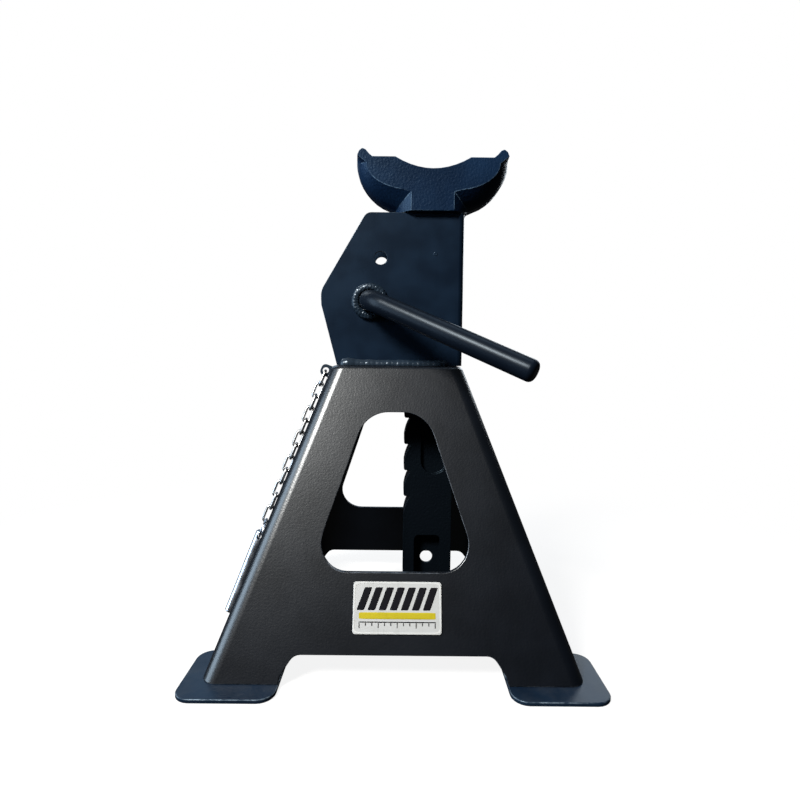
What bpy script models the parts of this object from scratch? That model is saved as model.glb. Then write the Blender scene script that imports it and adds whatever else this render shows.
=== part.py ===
"""Ratchet axle jack stand, six tonne class.

A pressed-steel pyramid base in two welded halves stands on four foot plates. A bent
sheet housing welded on its top guides a cast ratchet post with a forked saddle. A
pawl on the handle's shaft holds the post, and a lock pin on a chain goes through the
housing behind the pawl.

Frame: metres, +Z up, +X to the right of the handle side, +Y to the back. The origin is
on the floor, under the middle of the base.
"""
import math

import bmesh
import bpy
from mathutils import Matrix, Vector

MM = 0.001
GAP = 0.3 * MM                      # clearance between pieces that touch

# Base: two pressed halves on four foot plates
FOOT_HALF_X = 145.0 * MM            # outer edges of the foot plates
FOOT_HALF_Y = 127.0 * MM
FOOT_INNER_X = 78.0 * MM            # inner edges of the foot plates
FOOT_INNER_Y = 66.0 * MM
FOOT_THICKNESS = 3.0 * MM
FOOT_CORNER = 11.5 * MM
BASE_HALF_X = 133.0 * MM            # outer faces carried down to the floor
BASE_HALF_Y = 112.0 * MM
BASE_TOP = 217.3 * MM
BASE_SLOPE = 0.3728                 # run of every side per unit of height
BASE_CORNER = 11.0 * MM             # radius of the upright corners
BASE_TOP_BEND = 4.0 * MM
SHEET = 3.0 * MM
ARCH_TOP = 20.7 * MM                # lower edge of the panels between the legs
ARCH_FILLET = 14.0 * MM
LEG_INNER_X = 77.5 * MM
LEG_INNER_Y = 66.0 * MM
TOP_HOLE_LEFT = -44.0 * MM
TOP_HOLE_RIGHT = 47.4 * MM
TOP_HOLE_HALF_Y = 12.4 * MM
TOP_HOLE_CORNER = 0.8 * MM

# Windows: trapezoids with wide rounded corners
WINDOW_BOTTOM = 72.0 * MM
WINDOW_TOP = 182.3 * MM
WINDOW_HALF_BOTTOM = 60.8 * MM      # half widths where the straight sides meet sill and head
WINDOW_HALF_TOP = 23.1 * MM
WINDOW_SILL_ROUND = 19.1 * MM
WINDOW_HEAD_ROUND = 24.0 * MM
SIDE_WINDOW_HALF_BOTTOM = 40.0 * MM
SIDE_WINDOW_HALF_TOP = 13.5 * MM
SIDE_WINDOW_SILL_ROUND = 14.0 * MM
SIDE_WINDOW_HEAD_ROUND = 13.0 * MM

# Housing: one sheet bent to a U around the post
HOUSING_HALF_Y = 15.0 * MM
HOUSING_RIGHT = 53.0 * MM
HOUSING_TOP = 339.3 * MM
HOUSING_BOTTOM = BASE_TOP + GAP
HOUSING_BEND = 4.5 * MM
HOUSING_FOOT_LEFT = -49.0 * MM      # left end of the plates' foot
HOUSING_SHOULDER = -25.5 * MM       # left end of the plates' top edge
HOUSING_SHOULDER_ROUND = 7.0 * MM
NOSE_HIGH = (-62.0 * MM, 277.0 * MM)
NOSE_HIGH_ROUND = 16.0 * MM
NOSE_LOW = (-61.6 * MM, 266.0 * MM)
NOSE_LOW_ROUND = 8.0 * MM
WEAR_STRIP_HALF_Y = 9.5 * MM        # strip between the post and the right wall
WEAR_STRIP_END = 2.0 * MM           # it stops this far from the wall's ends
LOCK_HOLE = (-14.0 * MM, 303.6 * MM)
LOCK_HOLE_RADIUS = 5.3 * MM
PIVOT = (-22.4 * MM, 269.0 * MM)
SHAFT_HOLE_RADIUS = 8.4 * MM

# Post and saddle, cast in one
POST_X = 26.8 * MM
POST_HALF_WIDTH = 20.2 * MM
POST_HALF_DEPTH = 11.6 * MM
POST_BOTTOM = 38.0 * MM
NOTCH_PITCH = 22.0 * MM
NOTCH_COUNT = 10
NOTCH_DEPTH = 5.3 * MM
NOTCH_FLANK = 14.0 * MM            # height of a tooth's curved flank
FLANK_POWER = 1.35                  # 1 is a straight flank and 2 an ellipse
FIRST_NOTCH = 306.4 * MM            # load face of the highest notch
RECESS_LEFT = -6.0 * MM             # from the post's axis
RECESS_RIGHT = 15.6 * MM
RECESS_TOP = 326.0 * MM
RECESS_BOTTOM = 127.5 * MM
RECESS_DEPTH = 4.0 * MM
FORK_HALF_WIDTH = 10.8 * MM
FORK_TOP = 75.0 * MM
WEB = 2.6 * MM                      # metal left between the two lower recesses
POST_HOLE_Z = 52.8 * MM
POST_HOLE_RADIUS = 5.3 * MM
SADDLE_HALF_DEPTH = 21.0 * MM
LAND_Z = 380.5 * MM
HORN_TIP_Z = 386.6 * MM
HORN_HALF_SPAN = 60.5 * MM
HORN_WIDTH = 12.0 * MM
HORN_TIP = [(0.2 * MM, 381.4 * MM), (1.8 * MM, 384.9 * MM), (4.2 * MM, HORN_TIP_Z),
            (6.8 * MM, 385.6 * MM), (9.4 * MM, 382.6 * MM)]    # inset from the span, height
DIP_HALF = 29.6 * MM
DIP_DEPTH = 8.6 * MM
# The saddle's underside, at the middle of its depth and at its front and back faces:
# half width of the neck, height where the sweep starts, half width and height where it ends,
# and the sweep's power, where 1 is a chamfer and 2 an ellipse
UNDERSIDE_MIDDLE = (29.0 * MM, 343.4 * MM, 60.5 * MM, 376.9 * MM, 1.7)
UNDERSIDE_FACE = (17.0 * MM, 355.5 * MM, 52.5 * MM, 376.0 * MM, 2.0)

# Handle, its shaft and the pawl
BAR_RADIUS = 8.0 * MM
HANDLE_BACK_Y = 25.0 * MM
HANDLE_BEND_Y = -37.0 * MM
HANDLE_END = (91.7 * MM, -104.7 * MM, 215.9 * MM)
HANDLE_BEND_RADIUS = 26.0 * MM
HANDLE_END_ROUND = 2.4 * MM
COLLAR_RADIUS = 15.0 * MM
COLLAR_LENGTH = 4.6 * MM
COTTER_Y = 21.4 * MM
COTTER_RADIUS = 1.5 * MM
WASHER_RADIUS = 13.0 * MM
WASHER_THICKNESS = 2.2 * MM
PAWL_HALF_WIDTH = 11.2 * MM
PAWL_HUB_RADIUS = 13.0 * MM
PAWL_BORE_RADIUS = 8.3 * MM
PAWL_BLADE = [(3.9, 308.0), (5.9, 320.6), (5.4, 323.4), (2.2, 323.4), (-3.2, 312.0), (-6.2, 303.0),
              (-9.4, 292.0)]          # mm, from the post's side over the tip and down the back
ROLL_PIN_RADIUS = 2.4 * MM
GUIDE_RADIUS = 5.0 * MM

# Lock pin and its chain, lying on the left side
LINK_PITCH = 10.6 * MM
LINK_COUNT = 12
LINK_WIRE = 1.05 * MM               # wire radius
LINK_INNER_WIDTH = 3.4 * MM
LINK_INNER_LENGTH = LINK_PITCH + GAP
TAB_BORE = 2.6 * MM
TAB_HALF_WIDTH = 4.8 * MM
TAB_HEIGHT = 8.2 * MM
TAB_HALF_THICKNESS = 1.2 * MM
TAB_ROUND = 3.6 * MM
CHAIN_Y = -12.0 * MM
CHAIN_Z = 211.5 * MM
CHAIN_LEAN = 0.20                   # run towards the front per unit of slope
CHAIN_OFF = 4.4 * MM                # centre line's distance from the panel
RING_RADIUS = 7.5 * MM
RING_WIRE = 0.9 * MM
RING_REACH = LINK_INNER_LENGTH / 2.0 - RING_WIRE - GAP      # last link's middle to the ring's wire
PIN_RADIUS = 4.0 * MM
PIN_LENGTH = 66.0 * MM


def clear_scene():
    """Remove every object of the opened file."""
    for old in list(bpy.data.objects):
        bpy.data.objects.remove(old, do_unlink=True)


def finish(name, colour, roughness, metallic=0.0):
    """Make a Principled material."""
    material = bpy.data.materials.new(name)
    material.use_nodes = True
    shader = material.node_tree.nodes["Principled BSDF"]
    shader.inputs["Base Color"].default_value = (*colour, 1.0)
    shader.inputs["Roughness"].default_value = roughness
    shader.inputs["Metallic"].default_value = metallic
    return material


def place(name, mesh, material=None, parent=None):
    """Link a mesh into the scene as one named object."""
    piece = bpy.data.objects.new(name, mesh)
    bpy.context.scene.collection.objects.link(piece)
    if material is not None:
        mesh.materials.append(material)
    if parent is not None:
        piece.parent = parent
        piece.matrix_parent_inverse = parent.matrix_world.inverted()
    return piece


def to_mesh(name, bm, smooth_angle=None):
    """Close a bmesh into a mesh with its faces pointing out."""
    bmesh.ops.recalc_face_normals(bm, faces=bm.faces)
    mesh = bpy.data.meshes.new(name)
    bm.to_mesh(mesh)
    bm.free()
    if smooth_angle is not None:
        mesh.shade_smooth()
        mesh.set_sharp_from_angle(angle=math.radians(smooth_angle))
    return mesh


def loft(name, rings, smooth_angle=30.0):
    """Join closed rings of points one after another and cap both ends."""
    bm = bmesh.new()
    loops = [[bm.verts.new(point) for point in ring] for ring in rings]
    count = len(loops[0])
    for low, high in zip(loops, loops[1:]):
        for i in range(count):
            j = (i + 1) % count
            bm.faces.new((low[i], low[j], high[j], high[i]))
    bm.faces.new(list(reversed(loops[0])))
    bm.faces.new(loops[-1])
    return to_mesh(name, bm, smooth_angle)


def torus(name, rings, smooth_angle=60.0):
    """Join closed rings of points one after another, the last to the first."""
    bm = bmesh.new()
    loops = [[bm.verts.new(point) for point in ring] for ring in rings]
    count = len(loops[0])
    for low, high in zip(loops, loops[1:] + loops[:1]):
        for i in range(count):
            j = (i + 1) % count
            bm.faces.new((low[i], low[j], high[j], high[i]))
    return to_mesh(name, bm, smooth_angle)


def arc(centre, radius, start, end, steps):
    """Points of an arc in the plane, angles in degrees, both ends included."""
    turn = [math.radians(start + (end - start) * i / steps) for i in range(steps + 1)]
    return [(centre[0] + radius * math.cos(t), centre[1] + radius * math.sin(t)) for t in turn]


def rounded_polygon(corners, steps=6):
    """Round each corner (x, y, radius) of a closed polygon with an arc."""
    outline = []
    for i, (x, y, radius) in enumerate(corners):
        point = Vector((x, y))
        before = (Vector(corners[i - 1][:2]) - point).normalized()
        after = (Vector(corners[(i + 1) % len(corners)][:2]) - point).normalized()
        if radius <= 0.0:
            outline.append((x, y))
            continue
        half = before.angle(after) / 2.0
        reach = radius / math.tan(half)
        centre = point + (before + after).normalized() * (radius / math.sin(half))
        first = point + before * reach - centre
        last = point + after * reach - centre
        sweep = math.atan2(first.x * last.y - first.y * last.x, first.dot(last))
        for k in range(steps + 1):
            turn = sweep * k / steps
            cos, sin = math.cos(turn), math.sin(turn)
            outline.append((centre.x + first.x * cos - first.y * sin,
                            centre.y + first.x * sin + first.y * cos))
    return outline


def prism(name, outline, low, high, axis="Y", smooth_angle=30.0):
    """Carry a plane outline along an axis: (x, z) along Y, (y, z) along X, (x, y) along Z."""
    def point(pair, level):
        a, b = pair
        return {"X": (level, a, b), "Y": (a, level, b), "Z": (a, b, level)}[axis]
    rings = [[point(pair, level) for pair in outline] for level in (low, high)]
    return loft(name, rings, smooth_angle)


def cylinder(name, start, end, radius, sides=24, chamfer=0.0):
    """A round bar between two points, with chamfered ends if asked."""
    start, end = Vector(start), Vector(end)
    along = (end - start).normalized()
    side = along.orthogonal().normalized()
    other = along.cross(side)
    stations = [(0.0, radius), ((end - start).length, radius)]
    if chamfer > 0.0:
        length = (end - start).length
        stations = [(0.0, radius - chamfer), (chamfer, radius),
                    (length - chamfer, radius), (length, radius - chamfer)]
    rings = []
    for distance, size in stations:
        turns = [2.0 * math.pi * i / sides for i in range(sides)]
        rings.append([start + along * distance + (side * math.cos(t) + other * math.sin(t)) * size
                      for t in turns])
    return loft(name, rings)


def turned(name, centre, axis, profile, sides=28):
    """Turn a closed (distance, radius) profile about an axis through centre."""
    centre, axis = Vector(centre), Vector(axis).normalized()
    side = axis.orthogonal().normalized()
    other = axis.cross(side)
    rings = []
    for i in range(sides):
        turn = 2.0 * math.pi * i / sides
        out = side * math.cos(turn) + other * math.sin(turn)
        rings.append([centre + axis * distance + out * radius for distance, radius in profile])
    return torus(name, rings, 40.0)


def sweep(path, radius, sides):
    """Rings of a round section carried along a list of points without twist."""
    rings = []
    side = None
    for i, point in enumerate(path):
        ahead = path[min(i + 1, len(path) - 1)]
        behind = path[max(i - 1, 0)]
        along = (ahead - behind).normalized()
        if side is None:
            side = along.orthogonal().normalized()
        side = (side - along * side.dot(along)).normalized()
        other = along.cross(side)
        turns = [2.0 * math.pi * k / sides for k in range(sides)]
        rings.append([point + (side * math.cos(t) + other * math.sin(t)) * radius for t in turns])
    return rings


def cutter(name, mesh):
    """An object that only cuts others."""
    tool = place(name, mesh)
    tool.hide_render = True
    tool.display_type = "WIRE"
    return tool


def cut(piece, tool, operation="DIFFERENCE"):
    """Add an exact Boolean to a piece."""
    boolean = piece.modifiers.new(tool.name, "BOOLEAN")
    boolean.operation = operation
    boolean.solver = "EXACT"
    boolean.object = tool


def empty(name, location):
    """A joint's empty."""
    hinge = bpy.data.objects.new(name, None)
    hinge.location = location
    bpy.context.scene.collection.objects.link(hinge)
    bpy.context.view_layer.update()
    return hinge


# ---------------------------------------------------------------- base

def rounded_rectangle(half_x, half_y, radius, level, steps=8):
    """Ring of a rounded rectangle at one height."""
    corners = [(half_x, half_y, radius), (-half_x, half_y, radius),
               (-half_x, -half_y, radius), (half_x, -half_y, radius)]
    return [(x, y, level) for x, y in rounded_polygon(corners, steps)]


def pyramid(name, inset, bottom, top, bend, steps=3):
    """Solid of the base's outer shape, moved inwards, with a round top edge."""
    lean = math.atan(BASE_SLOPE)
    shift = inset / math.cos(lean)
    corner = BASE_CORNER - inset
    rings = []
    levels = [(bottom, 0.0)]
    tangent = bend * math.tan((math.pi / 2.0 - lean) / 2.0)
    for i in range(steps + 1):
        turn = (math.pi / 2.0 - lean) * i / steps
        fall = bend * (1.0 - math.cos(math.pi / 2.0 - lean - turn))
        level = top - fall
        side = BASE_HALF_X - BASE_SLOPE * top - tangent
        reach = bend * math.sin(math.pi / 2.0 - lean - turn)
        levels.append((level, side + reach - (BASE_HALF_X - BASE_SLOPE * level)))
    for level, extra in levels:
        half_x = BASE_HALF_X - BASE_SLOPE * level - shift + extra
        half_y = BASE_HALF_Y - BASE_SLOPE * level - shift + extra
        rings.append(rounded_rectangle(half_x, half_y, corner, level))
    return loft(name, rings)


def window_outline(half_bottom, half_top, sill_round, head_round):
    """Closed (across, up) outline of a window, counter-clockwise from the sill."""
    corners = [(-half_bottom, WINDOW_BOTTOM, sill_round), (half_bottom, WINDOW_BOTTOM, sill_round),
               (half_top, WINDOW_TOP, head_round), (-half_top, WINDOW_TOP, head_round)]
    return rounded_polygon(corners, 10)


def arch_outline(leg):
    """Closed outline of the gap between two legs, from below the floor."""
    foot = leg + 2.0 * MM
    crown = leg - 9.0 * MM
    right = [(foot, -5.0 * MM, 0.0), (leg, 8.0 * MM, 4.0 * MM), (crown, ARCH_TOP, ARCH_FILLET * 0.6)]
    return rounded_polygon(right + [(-x, z, r) for x, z, r in reversed(right)], 4)


def make_base(paint):
    """The pressed halves, with windows on all four sides."""
    reach = 0.2
    inner = cutter("base_hollow", pyramid("base_hollow", SHEET, -0.01, BASE_TOP - SHEET, 1.2 * MM, 1))
    hole_corners = [(x, y, TOP_HOLE_CORNER) for x, y in (
        (TOP_HOLE_LEFT, -TOP_HOLE_HALF_Y), (TOP_HOLE_RIGHT, -TOP_HOLE_HALF_Y),
        (TOP_HOLE_RIGHT, TOP_HOLE_HALF_Y), (TOP_HOLE_LEFT, TOP_HOLE_HALF_Y))]
    hole = cutter("base_top_hole", prism("base_top_hole", rounded_polygon(hole_corners, 2),
                                         BASE_TOP - 0.02, BASE_TOP + 0.02, "Z"))
    window = window_outline(WINDOW_HALF_BOTTOM, WINDOW_HALF_TOP, WINDOW_SILL_ROUND, WINDOW_HEAD_ROUND)
    windows = cutter("front_windows", prism("front_windows", window, -reach, reach, "Y"))
    side_window = window_outline(SIDE_WINDOW_HALF_BOTTOM, SIDE_WINDOW_HALF_TOP,
                                 SIDE_WINDOW_SILL_ROUND, SIDE_WINDOW_HEAD_ROUND)
    side_windows = cutter("side_windows", prism("side_windows", side_window, -reach, reach, "X"))
    arches = cutter("front_arches", prism("front_arches", arch_outline(LEG_INNER_X), -reach, reach, "Y"))
    side_arches = cutter("side_arches", prism("side_arches", arch_outline(LEG_INNER_Y),
                                              -reach, reach, "X"))
    for name, side in (("base_front_shell", -1.0), ("base_rear_shell", 1.0)):
        shell = place(name, pyramid(name, 0.0, FOOT_THICKNESS + GAP, BASE_TOP, BASE_TOP_BEND), paint)
        low, high = sorted((side * GAP / 2.0, side * reach))
        half = cutter(name + "_half", prism(name + "_half", [(-reach, -reach), (reach, -reach),
                                                            (reach, 0.3), (-reach, 0.3)], low, high, "Y"))
        for tool in (inner, hole, windows, side_windows, arches, side_arches):
            cut(shell, tool)
        cut(shell, half, "INTERSECT")


def make_feet(paint, weld):
    """Foot plates and the weld inside each leg."""
    for right, back in ((-1, -1), (1, -1), (-1, 1), (1, 1)):
        label = ("front" if back < 0 else "rear") + "_" + ("left" if right < 0 else "right")
        corners = [(right * x, back * y, FOOT_CORNER) for x, y in (
            (FOOT_INNER_X, FOOT_INNER_Y), (FOOT_HALF_X, FOOT_INNER_Y),
            (FOOT_HALF_X, FOOT_HALF_Y), (FOOT_INNER_X, FOOT_HALF_Y))]
        place("foot_plate_" + label, prism("foot_plate_" + label, rounded_polygon(corners, 6),
                                           0.0, FOOT_THICKNESS, "Z"), paint)
        # the bead runs round the inside of the bent leg
        low = FOOT_THICKNESS + GAP
        face_x = BASE_HALF_X - BASE_SLOPE * low - SHEET / math.cos(math.atan(BASE_SLOPE)) - 3 * GAP
        face_y = BASE_HALF_Y - BASE_SLOPE * low - SHEET / math.cos(math.atan(BASE_SLOPE)) - 3 * GAP
        bead = 4.0 * MM
        rings = []
        for rise, width in ((0.0, bead), (0.6 * bead, 0.7 * bead), (bead, 0.25 * bead)):
            level = low + rise
            x_out, y_out = face_x - BASE_SLOPE * rise, face_y - BASE_SLOPE * rise
            bevel = BASE_CORNER - SHEET
            outline = [(LEG_INNER_X + 6 * MM, y_out), (x_out - bevel, y_out), (x_out, y_out - bevel),
                       (x_out, LEG_INNER_Y + 6 * MM), (x_out - width, LEG_INNER_Y + 6 * MM),
                       (x_out - width, y_out - bevel), (x_out - bevel, y_out - width),
                       (LEG_INNER_X + 6 * MM, y_out - width)]
            rings.append([(right * x, back * y, level) for x, y in outline])
        place("foot_weld_" + label, loft("foot_weld_" + label, rings), weld)


def make_seams(weld):
    """Weld beads over the joint of the two halves, above and below each side window."""
    lean = math.atan(BASE_SLOPE)
    for name, side in (("left", -1.0), ("right", 1.0)):
        for part, low, high in (("upper", WINDOW_TOP + 4 * MM, BASE_TOP - 7 * MM),
                                ("lower", ARCH_TOP + 4 * MM, WINDOW_BOTTOM - 4 * MM)):
            rings = []
            for level in (low, (low + high) / 2.0, high):
                x = BASE_HALF_X - BASE_SLOPE * level + GAP / math.cos(lean)
                ring = [(x, -3.2 * MM), (x + 0.9 * MM, -2.4 * MM), (x + 1.6 * MM, 0.0),
                        (x + 0.9 * MM, 2.4 * MM), (x, 3.2 * MM)]
                rings.append([(side * a, b, level) for a, b in ring])
            label = "seam_weld_" + name + "_" + part
            place(label, loft(label, rings), weld)


def make_label(plate):
    """A thin plate on the lower part of the front panel."""
    lean = math.atan(BASE_SLOPE)
    half_width, half_height, thickness = 31.0 * MM, 17.4 * MM, 0.8 * MM
    middle = (2.2 * MM, 50.0 * MM)
    corners = [(x * half_width, y * half_height, 2.0 * MM) for x, y in ((-1, -1), (1, -1), (1, 1), (-1, 1))]
    mesh = prism("label_plate", rounded_polygon(corners, 4), 0.0, thickness, "Z")
    face_y = -(BASE_HALF_Y - BASE_SLOPE * middle[1])
    tilt = Matrix.Rotation(math.pi / 2.0 - lean, 4, "X")
    normal = Vector((0.0, -math.cos(lean), math.sin(lean)))
    mesh.transform(Matrix.Translation(Vector((middle[0], face_y, middle[1])) + normal * GAP) @ tilt)
    place("label_plate", mesh, plate)


# ---------------------------------------------------------------- housing

def housing_outline():
    """Side outline of the housing plates: a nose at the left round the pivot."""
    corners = [(HOUSING_FOOT_LEFT, HOUSING_BOTTOM, 0.0), (HOUSING_RIGHT, HOUSING_BOTTOM, 0.0),
               (HOUSING_RIGHT, HOUSING_TOP, 0.0), (HOUSING_SHOULDER, HOUSING_TOP, HOUSING_SHOULDER_ROUND),
               (*NOSE_HIGH, NOSE_HIGH_ROUND), (*NOSE_LOW, NOSE_LOW_ROUND)]
    return rounded_polygon(corners, 5)


def make_housing(paint, weld, steel):
    """U-bent housing, what guides the post in it, and the welds to the base."""
    outer_left, inner = -70.0 * MM, HOUSING_HALF_Y - SHEET
    right_in = HOUSING_RIGHT - SHEET
    outer = [(outer_left, -HOUSING_HALF_Y, 0.0), (HOUSING_RIGHT, -HOUSING_HALF_Y, HOUSING_BEND),
             (HOUSING_RIGHT, HOUSING_HALF_Y, HOUSING_BEND), (outer_left, HOUSING_HALF_Y, 0.0),
             (outer_left, inner, 0.0), (right_in, inner, HOUSING_BEND - SHEET),
             (right_in, -inner, HOUSING_BEND - SHEET), (outer_left, -inner, 0.0)]
    housing = place("ratchet_housing", prism("ratchet_housing", rounded_polygon(outer, 4),
                                             HOUSING_BOTTOM, HOUSING_TOP, "Z"), paint)
    side = cutter("housing_side", prism("housing_side", housing_outline(), -0.05, 0.05, "Y"))
    cut(housing, side, "INTERSECT")
    for name, (x, z), radius in (("lock_hole", LOCK_HOLE, LOCK_HOLE_RADIUS),
                                 ("shaft_hole", PIVOT, SHAFT_HOLE_RADIUS)):
        cut(housing, cutter(name, cylinder(name, (x, -0.05, z), (x, 0.05, z), radius, 28)))

    guide_x = POST_X - POST_HALF_WIDTH - GAP - GUIDE_RADIUS
    for name, level in (("post_guide_upper", HOUSING_TOP - 5.6 * MM), ("post_guide_lower", 226.5 * MM)):
        place(name, cylinder(name, (guide_x, -inner + GAP, level), (guide_x, inner - GAP, level),
                             GUIDE_RADIUS, 20), weld)

    strip = [(POST_X + POST_HALF_WIDTH + GAP, -WEAR_STRIP_HALF_Y), (right_in - GAP, -WEAR_STRIP_HALF_Y),
             (right_in - GAP, WEAR_STRIP_HALF_Y), (POST_X + POST_HALF_WIDTH + GAP, WEAR_STRIP_HALF_Y)]
    place("post_wear_strip", prism("post_wear_strip", strip, HOUSING_BOTTOM + WEAR_STRIP_END,
                                   HOUSING_TOP - WEAR_STRIP_END, "Z"), steel)

    for name, side_sign in (("housing_weld_front", -1.0), ("housing_weld_rear", 1.0)):
        y_wall = HOUSING_HALF_Y + GAP
        foot = HOUSING_BOTTOM
        ring = [(y_wall, foot), (y_wall + 6.2 * MM, foot), (y_wall + 5.6 * MM, foot + 2.4 * MM),
                (y_wall + 3.6 * MM, foot + 4.6 * MM), (y_wall + 1.2 * MM, foot + 6.0 * MM),
                (y_wall, foot + 6.2 * MM)]
        rings = []
        for x, scale in ((-46.5 * MM, 0.6), (-44.0 * MM, 1.1), (-38.0 * MM, 1.1), (-34.0 * MM, 0.95),
                         (38.0 * MM, 0.95), (41.5 * MM, 0.5)):
            rings.append([(x, side_sign * (y_wall + (y - y_wall) * scale), foot + (z - foot) * scale)
                          for y, z in ring])
        place(name, loft(name, rings), weld)


# ---------------------------------------------------------------- post

def post_outline():
    """Side outline of the toothed bar, from its foot up to the shoulder."""
    left, right = POST_X - POST_HALF_WIDTH, POST_X + POST_HALF_WIDTH
    outline = [(right, POST_BOTTOM), (right, HOUSING_TOP + 12 * MM), (left, HOUSING_TOP + 12 * MM)]
    for i in range(NOTCH_COUNT):
        load = FIRST_NOTCH - NOTCH_PITCH * i
        outline += [(left, load + 1.2 * MM), (left + 0.8 * MM, load), (left + NOTCH_DEPTH, load - 0.3 * MM)]
        for k in range(1, 7):
            out = k / 6.0
            fall = 1.0 - (1.0 - out ** FLANK_POWER) ** (1.0 / FLANK_POWER)
            outline.append((left + NOTCH_DEPTH * (1.0 - out), load - 1.4 * MM - NOTCH_FLANK * fall))
    return outline + [(left, POST_BOTTOM)]


def saddle_outline(share):
    """Side outline of the saddle, from its middle (share 0) to a face (share 1)."""
    neck, low, half, high, power = (a + (b - a) * share for a, b in zip(UNDERSIDE_MIDDLE, UNDERSIDE_FACE))
    right = [(neck - 1.2 * MM * (1.0 - share), HOUSING_TOP + GAP), (neck, low - 1.4 * MM)]
    for i in range(1, 10):
        out = math.sin(math.radians(90.0 * i / 9))
        rise = 1.0 - (1.0 - out ** power) ** (1.0 / power)
        right.append((neck + (half - neck) * out, low + (high - low) * rise))
    horn = HORN_HALF_SPAN - 0.8 * MM * share
    right += [(horn - inset, z) for inset, z in HORN_TIP]
    right.append((horn - HORN_WIDTH, LAND_Z))
    for i in range(5):
        across = DIP_HALF * (1.0 - i / 5.0)
        right.append((across, LAND_Z - DIP_DEPTH * (1.0 - (across / DIP_HALF) ** 2)))
    left = [(-x, z) for x, z in reversed(right)]
    return [(POST_X + x, z) for x, z in right + [(0.0, LAND_Z - DIP_DEPTH)] + left]


def make_post(cast, hinge):
    """The post and saddle casting, with its recesses, notches and lower hole."""
    bar = prism("ratchet_post", post_outline(), -POST_HALF_DEPTH, POST_HALF_DEPTH, "Y")
    post = place("ratchet_post", bar, cast, hinge)
    rings = []
    for depth in (-1.0, -0.9, -0.74, -0.54, -0.3, 0.3, 0.54, 0.74, 0.9, 1.0):
        share = max(0.0, (abs(depth) - 0.3) / 0.7) ** 1.6
        rings.append([(x, SADDLE_HALF_DEPTH * depth, z) for x, z in saddle_outline(share)])
    cut(post, cutter("saddle_body", loft("saddle_body", rings)), "UNION")
    for name, side in (("front", -1.0), ("rear", 1.0)):
        radius = (RECESS_RIGHT - RECESS_LEFT) / 2.0
        centre_x = POST_X + (RECESS_LEFT + RECESS_RIGHT) / 2.0
        slot = arc((centre_x, RECESS_BOTTOM + radius), radius, 180.0, 360.0, 10)
        slot += [(centre_x + radius, RECESS_TOP), (centre_x - radius, RECESS_TOP)]
        low, high = sorted((side * (POST_HALF_DEPTH - RECESS_DEPTH), side * 0.05))
        cut(post, cutter("recess_" + name, prism("recess_" + name, slot, low, high, "Y")))
        low, high = sorted((side * WEB / 2.0, side * 0.05))
        fork = [(POST_X - FORK_HALF_WIDTH, 0.0, 0.0), (POST_X + FORK_HALF_WIDTH, 0.0, 0.0),
                (POST_X + FORK_HALF_WIDTH, FORK_TOP, 4 * MM), (POST_X - FORK_HALF_WIDTH, FORK_TOP, 4 * MM)]
        cut(post, cutter("fork_" + name, prism("fork_" + name, rounded_polygon(fork, 4), low, high, "Y")))
    cut(post, cutter("post_hole", cylinder("post_hole", (POST_X, -0.05, POST_HOLE_Z),
                                           (POST_X, 0.05, POST_HOLE_Z), POST_HOLE_RADIUS, 24)))


# ---------------------------------------------------------------- handle and pawl

def handle_path():
    """Centre line of the bar: the shaft, a round bend and the straight grip."""
    bend = Vector((PIVOT[0], HANDLE_BEND_Y, PIVOT[1]))
    end = Vector(HANDLE_END)
    into = Vector((0.0, -1.0, 0.0))
    out = (end - bend).normalized()
    angle = into.angle(out)
    reach = HANDLE_BEND_RADIUS * math.tan(angle / 2.0)
    start = bend - into * reach
    axis = into.cross(out).normalized()
    centre = start + axis.cross(into) * HANDLE_BEND_RADIUS
    path = [Vector((PIVOT[0], HANDLE_BACK_Y, PIVOT[1]))]
    for i in range(9):
        turn = Matrix.Rotation(angle * i / 8, 3, axis)
        path.append(centre + turn @ (start - centre))
    return path + [end]


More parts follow.
